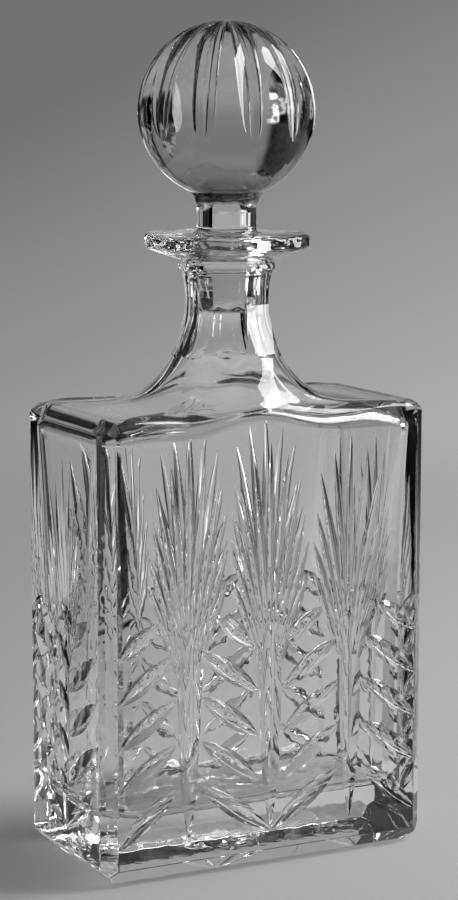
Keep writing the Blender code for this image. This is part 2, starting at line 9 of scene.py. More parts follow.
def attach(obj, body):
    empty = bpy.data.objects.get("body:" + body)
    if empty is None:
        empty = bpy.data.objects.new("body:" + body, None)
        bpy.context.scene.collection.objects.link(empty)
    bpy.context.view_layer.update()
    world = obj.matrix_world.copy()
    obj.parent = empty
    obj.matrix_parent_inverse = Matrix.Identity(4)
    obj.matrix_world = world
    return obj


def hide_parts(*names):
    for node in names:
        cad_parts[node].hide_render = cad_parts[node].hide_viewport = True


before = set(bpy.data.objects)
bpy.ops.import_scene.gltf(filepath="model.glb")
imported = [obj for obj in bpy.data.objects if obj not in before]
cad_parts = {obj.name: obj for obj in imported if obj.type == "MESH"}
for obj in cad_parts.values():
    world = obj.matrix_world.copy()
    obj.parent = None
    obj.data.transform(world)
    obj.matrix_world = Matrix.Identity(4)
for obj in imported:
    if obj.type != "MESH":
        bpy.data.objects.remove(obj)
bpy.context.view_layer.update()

print("frame loaded, nodes:", sorted(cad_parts))

# Outside of the bottle's box, in metres
body = {
    "width": 0.1200,
    "depth": 0.0632,
    "cornerCut": 0.0047,
    "footBevel": 0.0053,
    "edgeRound": 0.00035,      # worn edge of every flat facet
    "creaseHeight": 0.1476,    # where the walls turn into the shoulder
    "creaseSag": 0.0024,       # it dips twice along each wide wall
    "rimSwell": 0.0040,        # and the rim is rounder in the middle
    "rimLean": 45,             # where the rim runs straight into the flare, in degrees
    "leanPower": 4,            # how closely that keeps to the middle of the wall
    "mostLean": 0.85,          # the most of the climb that may go straight
    "creaseStrip": 0.0004,     # flat strip that keeps the walls' shading flat
    "rimRadius": 0.0046,
    "flareSlope": 2.0,         # how steeply the shoulder ends in the flare
    "leastPower": 1.6,         # and how hollow it is at least
    "wornAngle": 30,           # edges sharper than this are worn, up to a little over the crease
    "wornReach": 0.01,
    "wornSteps": 2,
}

# Inside of the bottle
cavity = {
    "wall": 0.0046,
    "floor": 0.0200,
    "corner": 0.0060,
    "footCorner": 0.0130,      # the inside corners get rounder and the walls thicker downwards
    "footWall": 0.0056,
    "swell": 2.6,              # how early they do
    "fillet": 0.0060,          # between the walls and the floor
    "shoulder": 0.0045,        # thickness of the shoulder
    "rimRadius": 0.0045,
    "flareWall": 0.0034,       # and of the flare
    "waveHeight": 0.00012,     # the moulded skin inside isn't quite flat
    "waveLength": 0.019,
    "floorWave": 0.00035,      # and the floor waves more
}

# Neck, collar and lip, as radii and heights above the foot
neck = {
    "flare": (0.0180, 0.1685),
    "root": (0.0151, 0.1770),
    "waist": (0.01385, 0.1863),
    "collarFoot": (0.0147, 0.1938),
    "collarSlope": 0.25,          # how the neck opens into the collar
    "arris": 1.05,                # the arrises between the panels, against the outline seen
    "collarRadius": 0.0162,
    "collarHeight": 0.1968,
    "collarHalf": 0.0019,
    "beadPower": 0.8,             # below 1 the collar's bead is squarer than round
    "grooveRadius": 0.0150,
    "grooveHeight": 0.1992,
    "underRadius": 0.0225,
    "underHeight": 0.2016,
    "underPower": 1.3,            # how hollow the lip is below
    "lipRadius": 0.0280,
    "lipTop": 0.2081,
    "lipThickness": 0.0050,
    "lipRound": 0.0014,
    "scallops": 8,
    "scallopTurn": math.radians(-112.5),
    "scallopDepth": 0.0013,
    "scallopDrop": 0.0006,
    "mouthRadius": 0.0114,
    "mouthEase": 0.0007,          # round edge of the mouth
    "mouthSpread": 0.0021,        # the lip's flat top ends this far out from it
    "boreRadius": 0.0104,
    "boreTaper": 0.0144,          # length of the ground cone that holds the stopper
    "pegLength": 0.0254,
}

# Steps of the fine mesh
steps = {
    "wide": 48,
    "narrow": 32,
    "corner": 6,
    "rim": 12,
    "shoulder": 40,
    "curve": 14,
    "bead": 14,
    "lip": 6,
    "lipEdge": 10,
    "mouth": 5,
    "seat": 12,       # the cone that holds the stopper
    "bore": 6,
    "panelTop": 8,
    "wallRows": 36,
    "fillet": 10,
    "floorRings": 14,
}
sideSteps = [steps["wide"], steps["corner"], steps["narrow"], steps["corner"]] * 2
ringSteps = sum(sideSteps)
sharpAngle = math.radians(12)      # sharper edges than this are shaded as edges
flatShare = 0.999999               # a face is one of the flat walls when it faces this nearly along an axis
firstAngle = math.radians(-135)    # where every ring round the neck starts


def blend(start, end, share):
    return start + (end - start) * share


def boxRing(halfWidth, halfDepth, cut, height, sag, roundCorner):
    # a ring round a box, with cut or round corners; by the sag it dips twice along each wide side
    inX, inY = halfWidth - cut, halfDepth - cut
    corners = [(-inX, -halfDepth), (inX, -halfDepth), (halfWidth, -inY), (halfWidth, inY),
               (inX, halfDepth), (-inX, halfDepth), (-halfWidth, inY), (-halfWidth, -inY)]
    points = []
    for side, count in enumerate(sideSteps):
        start, end = corners[side], corners[(side + 1) % 8]
        for step in range(count):
            share = step / count
            x, y = blend(start[0], end[0], share), blend(start[1], end[1], share)
            drop = sag * math.sin(2 * math.pi * share) ** 2 if side % 4 == 0 else 0.0
            if side % 2 == 1 and roundCorner:
                turn = math.radians(90) * share
                centreX, centreY = math.copysign(inX, start[0]), math.copysign(inY, start[1])
                along = Vector((start[0] - centreX, start[1] - centreY))
                ahead = Vector((end[0] - centreX, end[1] - centreY))
                spot = along * math.cos(turn) + ahead * math.sin(turn)
                x, y = centreX + spot.x, centreY + spot.y
            points.append(Vector((x, y, height - drop)))
    return points


def roundRing(radius, height, first=firstAngle, count=ringSteps):
    turns = [first + 2 * math.pi * step / count for step in range(count)]
    return [Vector((radius * math.cos(turn), radius * math.sin(turn), height)) for turn in turns]


def lipRing(radius, height):
    # the lip's edge bows out in scallops, and dips in and down where they meet
    points = roundRing(radius, height)
    for point in points:
        turn = math.atan2(point.y, point.x) - neck["scallopTurn"]
        dip = 1 - abs(math.sin(turn * neck["scallops"] / 2))
        shrink = 1 - neck["scallopDepth"] * dip / radius
        point.x *= shrink
        point.y *= shrink
        point.z -= neck["scallopDrop"] * dip
    return points


def wideShares():
    # how near each step of a ring is to the middle of a wide wall, from 0 to 1
    shares = []
    for side, count in enumerate(sideSteps):
        shares += [math.sin(math.pi * step / count) if side % 4 == 0 else 0.0 for step in range(count)]
    return shares


def rimRings(halfWidth, halfDepth, cut, height, radius, roundCorner):
    # the rim turns the walls into the shoulder, wider and less far in the middle of the wide walls
    rings = []
    shares = wideShares()
    for step in range(steps["rim"] + 1):
        angle = math.radians(90) * step / steps["rim"]
        inset = radius * (1 - math.cos(angle))
        ring = boxRing(halfWidth - inset, halfDepth - inset, cut, height, body["creaseSag"], roundCorner)
        for point, share in zip(ring, shares):
            swell = body["rimSwell"] * share
            wide = radius if roundCorner else radius + swell
            lean = angle * (1 - body["rimLean"] / 90 * share ** body["leanPower"])
            if share > 0:
                point.y = math.copysign(halfDepth - wide * (1 - math.cos(lean)), point.y)
            point.z += wide * math.sin(lean) + (swell if roundCorner else 0.0)
        rings.append(ring)
    return rings


def shoulderRings(outer, inner):
    # the shoulder sweeps from its rim up into the flare of the neck
    rings = []
    shares = wideShares()
    for step in range(1, steps["shoulder"]):
        share = math.sin(math.radians(90) * step / steps["shoulder"])
        ring = []
        for start, end, near in zip(outer, inner, shares):
            run = math.hypot(start.x - end.x, start.y - end.y)
            climb = end.z - start.z
            lean = math.radians(body["rimLean"] * near ** body["leanPower"])
            first = min(math.tan(lean) * run / climb, body["mostLean"])
            last = max(body["leastPower"], body["flareSlope"] * run / climb)
            power = (last - first) / (1 - first)
            spot = start.lerp(end, share)
            spot.z = start.z + climb * (first * share + (1 - first) * share ** power)
            ring.append(spot)
        rings.append(ring)
    return rings


def curve(start, startSlope, end, endSlope, count):
    # points of (radius, height) after the start, up to and with the end
    climb = end[1] - start[1]
    points = []
    for step in range(1, count + 1):
        share = step / count
        lead = share * share * (3 - 2 * share)
        bend = startSlope * share * (1 - share) ** 2 + endSlope * share * share * (share - 1)
        points.append((blend(start[0], end[0], lead) + climb * bend, blend(start[1], end[1], share)))
    return points


def neckOutline():
    # up the outside, from the flare over the collar's bead to the groove under the lip
    flare, root, waist = neck["flare"], neck["root"], neck["waist"]
    slope = (waist[0] - flare[0]) / (waist[1] - flare[1])
    points = [flare] + curve(flare, -1 / body["flareSlope"], root, slope, steps["curve"])
    points += curve(root, slope, waist, 0.0, steps["curve"])
    points += curve(waist, 0.0, neck["collarFoot"], neck["collarSlope"], steps["curve"])
    climb = root[1] - flare[1]
    points = [(r * blend(1, neck["arris"], min(1, (z - flare[1]) / climb)), z) for r, z in points]
    bead = neck["collarRadius"] - neck["grooveRadius"]
    for step in range(1, steps["bead"]):
        angle = math.radians(180) * step / steps["bead"]
        low = neck["collarHeight"] - neck["collarHalf"] * math.cos(angle)
        points.append((neck["grooveRadius"] + bead * math.sin(angle) ** neck["beadPower"], low))
    points.append((neck["grooveRadius"], neck["grooveHeight"]))
    return points


def lipRings():
    edge = neck["lipRadius"] - neck["lipRound"]
    low = neck["lipTop"] - neck["lipThickness"]
    groove = (neck["grooveRadius"], neck["grooveHeight"])
    under = (neck["underRadius"], neck["underHeight"])
    rings = []
    for step in range(1, steps["curve"] + 1):
        share = step / steps["curve"]
        radius = blend(groove[0], under[0], share)
        rings.append(roundRing(radius, blend(groove[1], under[1], share ** neck["underPower"])))
    plain = roundRing(under[0], under[1])
    for step in range(1, steps["lip"]):
        share = step / steps["lip"]
        rings.append([a.lerp(b, share) for a, b in zip(plain, lipRing(edge, low))])
    for start in (-90, 0):
        for step in range(steps["lipEdge"]):
            angle = math.radians(start + 90 * step / steps["lipEdge"])
            middle = low + neck["lipRound"] if start < 0 else neck["lipTop"] - neck["lipRound"]
            rings.append(lipRing(edge + neck["lipRound"] * math.cos(angle),
                                 middle + neck["lipRound"] * math.sin(angle)))
    mouth = roundRing(neck["mouthRadius"] + neck["mouthSpread"], neck["lipTop"])
    for step in range(steps["lip"]):
        share = step / steps["lip"]
        rings.append([a.lerp(b, share) for a, b in zip(lipRing(edge, neck["lipTop"]), mouth)])
    return rings


def boreOutline():
    # down the bore, from the mouth past the peg's end to the flare inside
    seat = neck["lipTop"] - neck["mouthEase"]
    middle, low = seat - neck["boreTaper"], seat - neck["pegLength"]
    mouth, ease = neck["mouthRadius"], neck["mouthEase"]
    points = []
    for step in range(steps["mouth"] + 1):
        angle = math.radians(90) * step / steps["mouth"]
        points.append((mouth + ease * (1 - math.sin(angle)), seat + ease * math.cos(angle)))
    for step in range(1, steps["seat"] + 1):
        share = step / steps["seat"]
        points.append((blend(mouth, neck["boreRadius"], share), blend(seat, middle, share)))
    for step in range(1, steps["bore"] + 1):
        points.append((neck["boreRadius"], blend(middle, low, step / steps["bore"])))
    flare = (neck["flare"][0] - cavity["flareWall"], neck["flare"][1])
    return points + curve((neck["boreRadius"], low), 0.0, flare, -1 / body["flareSlope"], steps["curve"])


def wavy(rings, height):
    # moves the points of an inner skin a little, along the skin's own level direction
    for ring in rings:
        for point in ring:
            wave = noise.noise(point / cavity["waveLength"])
            away = Vector((point.x, point.y, 0.0)).normalized()
            point += away * wave * height
    return rings


def cavityRings():
    # down the inside, from the flare over the rim and the walls to the floor
    halfWidth = body["width"] / 2 - cavity["wall"]
    halfDepth = body["depth"] / 2 - cavity["wall"]
    crease = body["creaseHeight"] + body["rimRadius"] - cavity["shoulder"] - cavity["rimRadius"]
    rim = rimRings(halfWidth, halfDepth, cavity["corner"], crease, cavity["rimRadius"], True)
    bore = [roundRing(radius, height) for radius, height in boreOutline()]
    rings = shoulderRings(rim[-1], bore[-1])[::-1] + rim[::-1]
    top = cavity["floor"] + cavity["fillet"]
    footWidth, footDepth = body["width"] / 2 - cavity["footWall"], body["depth"] / 2 - cavity["footWall"]
    low = boxRing(footWidth, footDepth, cavity["footCorner"], top, 0.0, True)
    for step in range(1, steps["wallRows"] + 1):
        share = step / steps["wallRows"]
        lead = 1 - (1 - share) ** cavity["swell"]
        ring = [a.lerp(b, lead) for a, b in zip(rim[0], low)]
        for point, start, end in zip(ring, rim[0], low):
            point.z = blend(start.z, end.z, share)
        rings.append(ring)
    for step in range(1, steps["fillet"] + 1):
        angle = math.radians(90) * step / steps["fillet"]
        inset = cavity["fillet"] * (1 - math.cos(angle))
        height = cavity["floor"] + cavity["fillet"] * (1 - math.sin(angle))
        corner = cavity["footCorner"] - inset / 2
        rings.append(boxRing(footWidth - inset, footDepth - inset, corner, height, 0.0, True))
    last = rings[-1]
    for step in range(1, steps["floorRings"]):
        shrink = 1 - step / steps["floorRings"]
        rings.append([Vector((p.x * shrink, p.y * shrink, p.z)) for p in last])
    for ring in rings[-steps["floorRings"]:]:
        for point in ring:
            level = Vector((point.x, point.y, 0)) / cavity["waveLength"]
            point.z += cavity["floorWave"] * noise.noise(level)
    return bore, wavy(rings, cavity["waveHeight"])


def joinRings(mesh, lower, upper):
    count = len(lower)
    for step in range(count):
        ahead = (step + 1) % count
        mesh.faces.new((lower[step], lower[ahead], upper[ahead], upper[step]))


def addWalls(mesh, top):
    # flat walls, cut corners and bevelled foot below the shoulder's crease, each one flat face
    halfWidth, halfDepth = body["width"] / 2, body["depth"] / 2
    tip = body["cornerCut"] / 2
    foot, tips, corners = [], [], []
    for signX, signY in ((-1, -1), (1, -1), (1, 1), (-1, 1)):
        inX, inY = halfWidth - body["footBevel"], halfDepth - body["footBevel"]
        foot.append(mesh.verts.new((signX * inX, signY * inY, 0)))
        outX, outY = halfWidth - tip, halfDepth - tip
        tips.append(mesh.verts.new((signX * outX, signY * outY, body["footBevel"] - tip)))
    index = 0
    starts = []
    for count in sideSteps:
        starts.append(index)
        spot = top[index].co
        corners.append(mesh.verts.new((spot.x, spot.y, body["footBevel"])))
        index += count
    mesh.faces.new(foot[::-1])
    for side, count in enumerate(sideSteps):
        start, end = corners[side], corners[(side + 1) % 8]
        edge = [top[(starts[side] + step) % ringSteps] for step in range(count, -1, -1)]
        if side % 2 == 0:
            here, ahead = side // 2, (side // 2 + 1) % 4
            mesh.faces.new([start, end] + edge)
            mesh.faces.new((foot[here], foot[ahead], tips[ahead], end, start, tips[here]))
        else:
            mesh.faces.new([start, tips[(side // 2 + 1) % 4], end] + edge)


def makeObject(mesh, name):
    data = bpy.data.meshes.new(name)
    mesh.to_mesh(data)
    mesh.free()
    item = bpy.data.objects.new(name, data)
    bpy.context.scene.collection.objects.link(item)
    return item


def bottleBlank():
    # the bottle before it is cut, with its worn edges
    mesh = bmesh.new()
    halfWidth, halfDepth = body["width"] / 2, body["depth"] / 2
    cut = body["cornerCut"]
    rim = rimRings(halfWidth, halfDepth, cut, body["creaseHeight"], body["rimRadius"], False)
    stripHeight = body["creaseHeight"] - body["creaseStrip"]
    strip = boxRing(halfWidth, halfDepth, cut, stripHeight, body["creaseSag"], False)
    outline = [roundRing(radius, height) for radius, height in neckOutline()]
    bore, inside = cavityRings()
    outside = [strip] + rim + shoulderRings(rim[-1], outline[0]) + outline + lipRings()
    rings = [[mesh.verts.new(point) for point in ring] for ring in outside + bore + inside]
    for lower, upper in zip(rings, rings[1:]):
        joinRings(mesh, lower, upper)
    middle = mesh.verts.new((0, 0, cavity["floor"]))
    for step in range(ringSteps):
        mesh.faces.new((rings[-1][step], rings[-1][(step + 1) % ringSteps], middle))
    addWalls(mesh, rings[0])
    mesh.normal_update()
    top = body["creaseHeight"] - body["creaseSag"] - body["creaseStrip"] * 2
    worn = [e for e in mesh.edges if e.calc_face_angle(0) > math.radians(body["wornAngle"])
            and max(v.co.z for v in e.verts) < top + body["wornReach"]
            and min(v.co.z for v in e.verts) < top - body["wornReach"]]
    bmesh.ops.bevel(mesh, geom=worn, offset=body["edgeRound"], segments=body["wornSteps"], profile=0.5,
                    affect="EDGES", clamp_overlap=True)
    return makeObject(mesh, "bottleGlass")


# Cut pattern of the walls, in metres and degrees: fans on tapering stems, with leaves between
cuts = {
    "overrun": 0.0004,         # the blades stand this far out of the wall
    "fans": 3,
    "fanRoot": 0.0800,
    "fanReach": 0.0625,
    "sideFanReach": 0.0560,
    "fanSpread": 38,
    "rayTurns": (0.0, 0.165, 0.335, 0.50, 0.71, 1.0),
    "rayReaches": (1.0, 0.925, 0.83, 0.63, 0.50, 0.37),
    "rayFoot": 0.0640,
    "rayGap": 0.00045,         # between the feet of two rays
    "rayBend": 0.30,           # how far up a ray turns outwards
    # half width, depth, where deepest, power of the run-out, and of the hollow from side to side
    "ray": (0.0016, 0.0016, 0.62, 2.4, 1.8),
    "stemTop": 0.0860,
    "stemFoot": 0.0125,
    "stem": (0.0038, 0.0020, 0.14, 3.5, 1.6),
    "leafRows": 5,
    "leafFoot": 0.0151,
    "leafPitch": 0.0149,
    "leafRise": 0.0152,
    "footDrop": 0.0027,        # the lowest leaves start this much lower
    "leafMargin": 0.0045,
    "leaf": (0.0030, 0.0022, 0.5, 2, 2.0),
    "topLeaf": 0.72,           # length of the highest leaves, against the others
    "steps": 10,               # of a groove, for each half of its length
    "facets": 12,              # across it
    "panelTop": (0.0160, 0.1966),         # where the neck's panels run out under the bead
    "panelFoot": (0.0400, 0.1600),        # and below the shoulder
    "panelSlope": -3.2,
    "panelFar": 0.0504,                   # size of the block that cuts one
    "panelWide": 0.0252,
}


def groove(mesh, toWall, start, end, shape, bend=None):
    # a closed blade that grinds one hollow groove, deepest at its peak and running out at its ends
    halfWidth, depth, peakShare, power, hollow = shape
    bend = bend or start.lerp(end, 0.5)
    over = cuts["overrun"]
    reach = (1 + over / depth) ** (1 / power)
    count, facets = 2 * cuts["steps"], cuts["facets"]
    rows = []
    for step in range(count + 1):
        place = blend(-reach, reach, step / count)
        share = peakShare + place * (1 - peakShare if place > 0 else peakShare)
        middle = start.lerp(bend, share).lerp(bend.lerp(end, share), share)
        along = (bend.lerp(end, share) - start.lerp(bend, share)).normalized()
        across = Vector((-along.y, along.x)) * halfWidth
        size = 1 - abs(place) ** power + over / depth
        row = []
        for facet in range(facets + 1):
            side = blend(-1, 1, facet / facets)
            low = over - depth * size * (1 - abs(side) ** hollow)
            row.append(toWall(middle + across * side * size, low))
        rows.append(row)
    first, last = mesh.verts.new(rows[0][0]), mesh.verts.new(rows[-1][0])
    rows = [[mesh.verts.new(spot) for spot in row] for row in rows[1:-1]]
    for row, ahead in zip(rows, rows[1:]):
        for facet in range(facets):
            mesh.faces.new((row[facet], row[facet + 1], ahead[facet + 1], ahead[facet]))
        mesh.faces.new((row[-1], row[0], ahead[0], ahead[-1]))
    for tip, row in ((first, rows[0]), (last, rows[-1])):
        for facet in range(facets):
            mesh.faces.new((tip, row[facet + 1], row[facet]))
        mesh.faces.new((tip, row[0], row[-1]))


def wideWall(side):
    return lambda spot, out: Vector((-side * spot.x, side * (body["depth"] / 2 + out), spot.y))


def narrowWall(side):
    return lambda spot, out: Vector((side * (body["width"] / 2 + out), side * spot.x, spot.y))


def fanPlaces():
    # every fan's wall, middle and reach
    pitch = body["width"] / (cuts["fans"] + 1)
    for side in (-1, 1):
        for fan in range(cuts["fans"]):
            yield wideWall(side), pitch * (fan + 1) - body["width"] / 2, cuts["fanReach"]
        yield narrowWall(side), 0.0, cuts["sideFanReach"]


def rayCutter(index, sign):
    # one ray of every fan: up along the stem, then out to its tip
    mesh = bmesh.new()
    turn = math.radians(sign * cuts["rayTurns"][index] * cuts["fanSpread"])
    heading = Vector((math.sin(turn), math.cos(turn)))
    for toWall, middle, reach in fanPlaces():
        root = Vector((middle, cuts["fanRoot"]))
        foot = Vector((middle + sign * cuts["rayGap"] * index, cuts["rayFoot"]))
        tip = root + heading * reach * cuts["rayReaches"][index]
        bend = Vector((foot.x + sign * cuts["rayGap"] * index, blend(foot.y, tip.y, cuts["rayBend"])))
        groove(mesh, toWall, foot, tip, cuts["ray"], bend)
    return mesh


def stemCutter():
    mesh = bmesh.new()
    for toWall, middle, reach in fanPlaces():
        top, foot = Vector((middle, cuts["stemTop"])), Vector((middle, cuts["stemFoot"]))
        groove(mesh, toWall, top, foot, cuts["stem"])
    return mesh


def leafCutter(half, inner):
    # the leaves on one side of the middle, in the outer or the inner columns
    mesh = bmesh.new()
    margin = cuts["leafMargin"]
    pitch = body["width"] / (cuts["fans"] + 1)
    corner = half * (body["width"] / 2 - margin)
    sideCorner = half * (body["depth"] / 2 - margin - body["cornerCut"] / 2)
    near = half * cuts["overrun"]
    columns = []
    for side in (-1, 1):
        if inner:
            columns.append((wideWall(side), half * margin, half * (pitch - margin), near))
        else:
            columns.append((wideWall(side), corner, half * (pitch + margin), corner))
            columns.append((narrowWall(side), half * margin, sideCorner, near))
    for toWall, lowSide, highSide, footSide in columns:
        for row in range(cuts["leafRows"]):
            low = cuts["leafFoot"] + cuts["leafPitch"] * row
            start = Vector((footSide, low - cuts["footDrop"]) if row == 0 else (lowSide, low))
            end = Vector((highSide, low + cuts["leafRise"]))
            if row == cuts["leafRows"] - 1:
                end = start.lerp(end, cuts["topLeaf"])
            groove(mesh, toWall, start, end, cuts["leaf"])
    return mesh


def panelOutline():
    # (distance from the axis, height) up the middle of a neck panel
    half = math.cos(math.radians(180) / neck["scallops"])
    points = []
    foot = cuts["panelFoot"]
    flare, root, waist = neck["flare"], neck["root"], neck["waist"]
    slope = (waist[0] - flare[0]) / (waist[1] - flare[1])
    shape = [foot] + curve(foot, cuts["panelSlope"], flare, -1 / body["flareSlope"], steps["curve"])
    shape += curve(flare, -1 / body["flareSlope"], root, slope, steps["curve"])
    shape += curve(root, slope, waist, 0.0, steps["curve"])
    shape += curve(waist, 0.0, neck["collarFoot"], neck["collarSlope"], steps["curve"])
    for radius, height in shape:
        points.append((radius * half * neck["arris"], height))
    foot = points[-1]
    top = cuts["panelTop"]
    for step in range(1, steps["panelTop"] + 1):
        angle = math.radians(90) * step / steps["panelTop"]
        radius = blend(foot[0], top[0], 1 - math.cos(angle))
        points.append((radius, blend(foot[1], top[1], math.sin(angle))))
    return points


def panelCutter(index):
    # two opposite panels of the neck, as blocks outside their flat cuts
    mesh = bmesh.new()
    outline = panelOutline()
    far, wide = cuts["panelFar"], cuts["panelWide"]
    for turn in (0, math.pi):
        heading = neck["scallopTurn"] + index * 2 * math.pi / neck["scallops"] + turn
        away = Vector((math.cos(heading), math.sin(heading), 0))
        side = Vector((-away.y, away.x, 0))
        loops = []
        for sign in (-1, 1):
            near = [mesh.verts.new(away * r + side * wide * sign + Vector((0, 0, z))) for r, z in outline]
            loops.append(near + [mesh.verts.new(away * far + side * wide * sign + Vector((0, 0, z)))
                                 for z in (outline[-1][1], outline[0][1])])
        count = len(loops[0])
        for step in range(count):
            ahead = (step + 1) % count
            mesh.faces.new((loops[0][step], loops[0][ahead], loops[1][ahead], loops[1][step]))
        mesh.faces.new(loops[0][::-1])
        mesh.faces.new(loops[1])
    return mesh


def cut(item, mesh, name):
    bmesh.ops.recalc_face_normals(mesh, faces=mesh.faces[:])
    cutter = makeObject(mesh, name)
    change = item.modifiers.new(name, "BOOLEAN")
    change.operation = "DIFFERENCE"
    change.solver = "MANIFOLD"
    change.object = cutter
    return cutter


def keepFlat(data):
    # a sharp edge wherever a flat wall meets anything that leans, so the walls are shaded flat
    mesh = bmesh.new()
    mesh.from_mesh(data)
    for edge in mesh.edges:
        flat = [max(abs(a) for a in face.normal) > flatShare for face in edge.link_faces]
        if any(flat) and not all(flat):
            edge.smooth = False
    mesh.to_mesh(data)
    mesh.free()


def applyChanges(item, extras):
    bpy.context.view_layer.update()
    graph = bpy.context.evaluated_depsgraph_get()
    data = bpy.data.meshes.new_from_object(item.evaluated_get(graph))
    item.modifiers.clear()
    item.data = data
    for extra in extras:
        bpy.data.objects.remove(extra, do_unlink=True)
    data.materials.clear()
    for face in data.polygons:
        face.material_index = 0
    data.shade_smooth()
    data.set_sharp_from_angle(angle=sharpAngle)
    keepFlat(data)
    print(item.name, "faces:", len(data.polygons))


def makeBottle():
    item = bottleBlank()
    cutters = []
    for index in range(neck["scallops"] // 2):
        cutters.append(cut(item, panelCutter(index), "panels"))
    for index, turn in enumerate(cuts["rayTurns"]):
        for sign in (-1, 1) if turn > 0 else (1,):
            cutters.append(cut(item, rayCutter(index, sign), "rays"))
    cutters.append(cut(item, stemCutter(), "stems"))
    for half in (-1, 1):
        for inner in (False, True):
            cutters.append(cut(item, leafCutter(half, inner), "leaves"))
    applyChanges(item, cutters)
    return item


# Stopper, in metres and degrees
stopper = {
    # outlines as (radius, height), upwards
    "peg": ((0.0089, 0.1820), (0.0095, 0.1826), (0.0101, 0.1930), (0.0111, 0.2074)),
    "stem": ((0.00995, 0.2094), (0.00995, 0.2155), (0.0112, 0.2198)),
    "shelfSlope": -0.9,        # how the peg draws in to the stem
    "stemSlope": 0.45,         # and the stem opens into the ball
    "ballRadius": 0.0293,
    "ballJoin": (0.0122, 0.2215),
    "crown": 0.8,              # the last ring's angle from the top of the ball
    "flutes": 11,
    "fluteHalf": 0.0053,
    "fluteDepth": 0.0023,
    "flutePower": 1.3,         # how soon it gets shallow towards its ends
    "fluteTop": 2,             # ends of a flute, from the top of the ball
    "fluteTip": 109,
    "fluteWidest": 0.62,       # where it is widest, as a share of its length
    "fluteTurn": -132,         # heading of the first
    "leastTurn": 2.0,
    "inFlute": 20,             # columns in a flute, and on each side of it
    "between": 3,
    "rows": 150,
    "pegRows": 8,
    "stemRows": 6,
}


def flutedRing(polar, centre):
    # a ring of the ball, with columns along the edges of each flute and across it
    level = stopper["ballRadius"] * math.sin(polar)
    top, tip = math.radians(stopper["fluteTop"]), math.radians(stopper["fluteTip"])
    size = 0.0
    if top < polar < tip:
        # pointed at the ball's top, widest two thirds of the way down, with a round end
        share, widest = (polar - top) / (tip - top), stopper["fluteWidest"]
        if share < widest:
            size = math.sin(math.radians(90) * share / widest)
        else:
            size = math.sqrt(1 - ((share - widest) / (1 - widest)) ** 2)
    width = stopper["fluteHalf"] * size
    sector = 2 * math.pi / stopper["flutes"]
    halfTurn = max(width / level, math.radians(stopper["leastTurn"]))
    inside, between = stopper["inFlute"], stopper["between"]
    points = []
    for flute in range(stopper["flutes"]):
        middle = math.radians(stopper["fluteTurn"]) + sector * flute
        turns = [blend(-sector / 2, -halfTurn, step / between) for step in range(between)]
        turns += [blend(-halfTurn, halfTurn, step / inside) for step in range(inside)]
        turns += [blend(halfTurn, sector / 2, step / between) for step in range(between)]
        for turn in turns:
            away = min(1.0, abs(turn) * level / width) if width > 0 else 1.0
            hollow = stopper["fluteDepth"] * size ** stopper["flutePower"] * (1 - away * away)
            radius = stopper["ballRadius"] - hollow
            reach = radius * math.sin(polar)
            points.append(Vector((reach * math.cos(middle + turn), reach * math.sin(middle + turn),
                                  centre + radius * math.cos(polar))))
    return points


def makeStopper():
    mesh = bmesh.new()
    joinRadius, joinHeight = stopper["ballJoin"]
    radius = stopper["ballRadius"]
    centre = joinHeight + math.sqrt(radius ** 2 - joinRadius ** 2)
    count = stopper["flutes"] * (stopper["inFlute"] + 2 * stopper["between"])
    first = math.radians(stopper["fluteTurn"]) - math.pi / stopper["flutes"]
    peg, stem = stopper["peg"], stopper["stem"]
    rows = stopper["pegRows"]
    outline = [peg[0], peg[1]]
    for start, end in zip(peg[1:], peg[2:]):
        shares = [step / rows for step in range(1, rows + 1)]
        outline += [(blend(start[0], end[0], share), blend(start[1], end[1], share)) for share in shares]
    outline += curve(peg[-1], stopper["shelfSlope"], stem[0], 0.0, rows)
    outline += curve(stem[0], 0.0, stem[1], 0.0, stopper["stemRows"])
    outline += curve(stem[1], 0.0, stem[2], stopper["stemSlope"], rows)
    rings = [roundRing(r, z, first, count) for r, z in outline]
    start = math.pi - math.asin(joinRadius / radius)
    for step in range(stopper["rows"]):
        share = step / stopper["rows"]
        polar = blend(start, math.radians(stopper["crown"]), share)
        rings.append(flutedRing(polar, centre))
    loops = [[mesh.verts.new(point) for point in ring] for ring in rings]
    for lower, upper in zip(loops, loops[1:]):
        joinRings(mesh, lower, upper)
    mesh.faces.new(loops[0][::-1])
    top = mesh.verts.new((0, 0, centre + radius))
    for step in range(count):
        mesh.faces.new((loops[-1][step], loops[-1][(step + 1) % count], top))
    item = makeObject(mesh, "stopperGlass")
    applyChanges(item, [])
    return item


# A shader value: each operator adds its Math node to the tree.
class Value:
    def __init__(self, graph, socket):
        self.graph = graph
        self.socket = socket

    def maths(self, operation, *others):
        inputs = dict(enumerate((self,) + others))
        return self.graph.add("ShaderNodeMath", {"operation": operation}, inputs)

    def __add__(self, other):
        return self.maths("ADD", other)

    def __sub__(self, other):
        return self.maths("SUBTRACT", other)

    def __mul__(self, other):
        return self.maths("MULTIPLY", other)

    def __rsub__(self, other):
        return self.graph.add("ShaderNodeMath", {"operation": "SUBTRACT"}, {0: other, 1: self})

    __radd__ = __add__
    __rmul__ = __mul__


